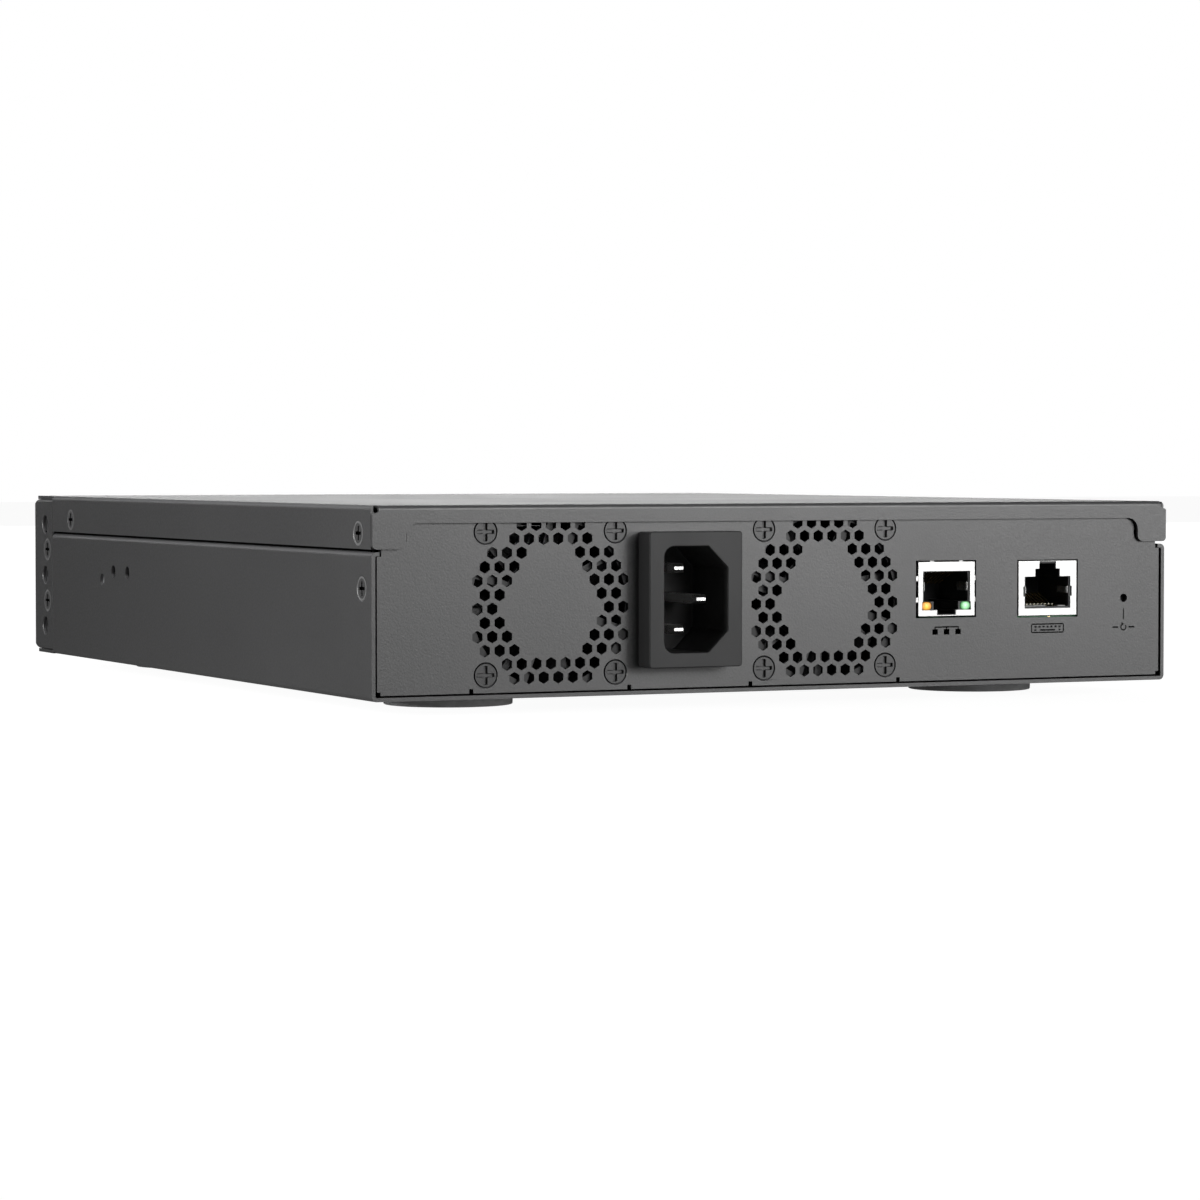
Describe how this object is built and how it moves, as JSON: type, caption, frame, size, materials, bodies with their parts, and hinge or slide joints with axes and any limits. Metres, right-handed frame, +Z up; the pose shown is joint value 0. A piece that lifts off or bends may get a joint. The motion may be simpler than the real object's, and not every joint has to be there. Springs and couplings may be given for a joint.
{
  "type": "rackmount network switch",
  "caption": "Half-width one-unit rackmount network switch: folded steel case, rear exhaust fans, mains inlet, management and console jacks, optical port cages.",
  "frame": {"origin": "centre of the object's footprint, on the plane that the feet stand on", "axes": "+X towards the side of the mains-inlet half (the left side seen from behind), +Y out of the rear panel, +Z up; the front ports face -Y"},
  "size_m": [0.2068, 0.2568, 0.0465],
  "materials": {
    "case_paint": "fine-texture powder coat, dark grey",
    "screw_black": "blackened steel",
    "nut_zinc": "zinc plated",
    "foot_rubber": "matte",
    "fan_plastic": "moulded, matte",
    "rotor_plastic": "moulded, satin",
    "shaft_steel": "ground",
    "magnet": "bonded ferrite",
    "bearing_bronze": "sintered",
    "winding": "enamelled copper wire",
    "wire_black": "insulated wire",
    "wire_brown": "insulated mains wire",
    "wire_red": "insulated wire",
    "inlet_plastic": "moulded, satin",
    "pin_nickel": "nickel plated",
    "psu_pcb": "solder mask",
    "insulator_film": "polyester sheet",
    "ferrite": "sintered ferrite with tape",
    "capacitor_sleeve": "shrink sleeve",
    "sink_aluminium": "extruded",
    "chip_epoxy": "moulded epoxy",
    "film_capacitor": "moulded box",
    "main_pcb": "green solder mask",
    "chip_lid": "nickel plated lid",
    "push_pin": "brass",
    "inductor": "pressed powder",
    "capacitor_can": "can",
    "header_nylon": "moulded nylon",
    "cage_steel": "tin plated sheet",
    "connector_black": "moulded",
    "light_pipe": "clear moulding",
    "ribbon": "flat cable",
    "jack_steel": "nickel plated sheet",
    "led_window": "translucent window, amber and green",
    "contact_gold": "gold plated"
  },
  "bodies": {
    "case": {"chassis_base": "case_paint", "top_cover": "case_paint", "rear_panel": "case_paint", "front_panel": "case_paint", "rubber_feet": "foot_rubber", "cover_screws": "screw_black", "rear_panel_screws": "screw_black", "front_panel_screws": "screw_black", "fan_screws": "screw_black", "clinch_nuts": "nut_zinc", "fan_1_frame": "fan_plastic", "fan_2_frame": "fan_plastic", "fan_bearings": "bearing_bronze", "fan_stators": "winding", "fan_cables": "wire_black", "inlet_body": "inlet_plastic", "inlet_pins": "pin_nickel", "inlet_wires": "wire_brown", "psu_board": "psu_pcb", "psu_insulator": "insulator_film", "psu_transformer": "ferrite", "psu_bulk_capacitors": "capacitor_sleeve", "psu_output_capacitors": "capacitor_sleeve", "psu_heatsinks": "sink_aluminium", "psu_transistors": "chip_epoxy", "psu_filter_chokes": "winding", "psu_film_capacitors": "film_capacitor", "dc_harness": "wire_red", "main_board": "main_pcb", "standoffs": "nut_zinc", "board_screws": "nut_zinc", "switch_chip": "chip_lid", "switch_heatsink": "sink_aluminium", "heatsink_pins": "push_pin", "support_chips": "chip_epoxy", "processor_heatsink": "sink_aluminium", "power_inductors": "inductor", "board_capacitors": "capacitor_can", "wire_headers": "header_nylon", "sfp_cage": "cage_steel", "qsfp_cage": "cage_steel", "cage_connectors": "connector_black", "port_light_pipes": "light_pipe", "status_light_pipe": "light_pipe", "rear_io_board": "main_pcb", "io_ribbon": "ribbon", "mgmt_jack_shield": "jack_steel", "mgmt_jack_insert": "connector_black", "mgmt_jack_leds": "led_window", "console_jack_shield": "jack_steel", "console_jack_insert": "connector_black", "jack_contacts": "contact_gold", "reset_switch_body": "connector_black"},
    "fan_1_rotor": {"fan_1_rotor": "rotor_plastic", "fan_1_shaft": "shaft_steel", "fan_1_magnet": "magnet"},
    "fan_2_rotor": {"fan_2_rotor": "rotor_plastic", "fan_2_shaft": "shaft_steel", "fan_2_magnet": "magnet"},
    "reset_button": {"reset_plunger": "connector_black"}
  },
  "joints": [
    {"name": "fan_1_spin", "type": "hinge", "parent": "case", "child": "fan_1_rotor", "pos_m": [0.05994, 0.1114, 0.02447], "axis": [0, 1, 0], "continuous": true},
    {"name": "fan_2_spin", "type": "hinge", "parent": "case", "child": "fan_2_rotor", "pos_m": [-0.01002, 0.1114, 0.02447], "axis": [0, 1, 0], "continuous": true},
    {"name": "reset_press", "type": "slide", "parent": "case", "child": "reset_button", "axis": [0, -1, 0], "range_m": [0, 0.0004]}
  ]
}
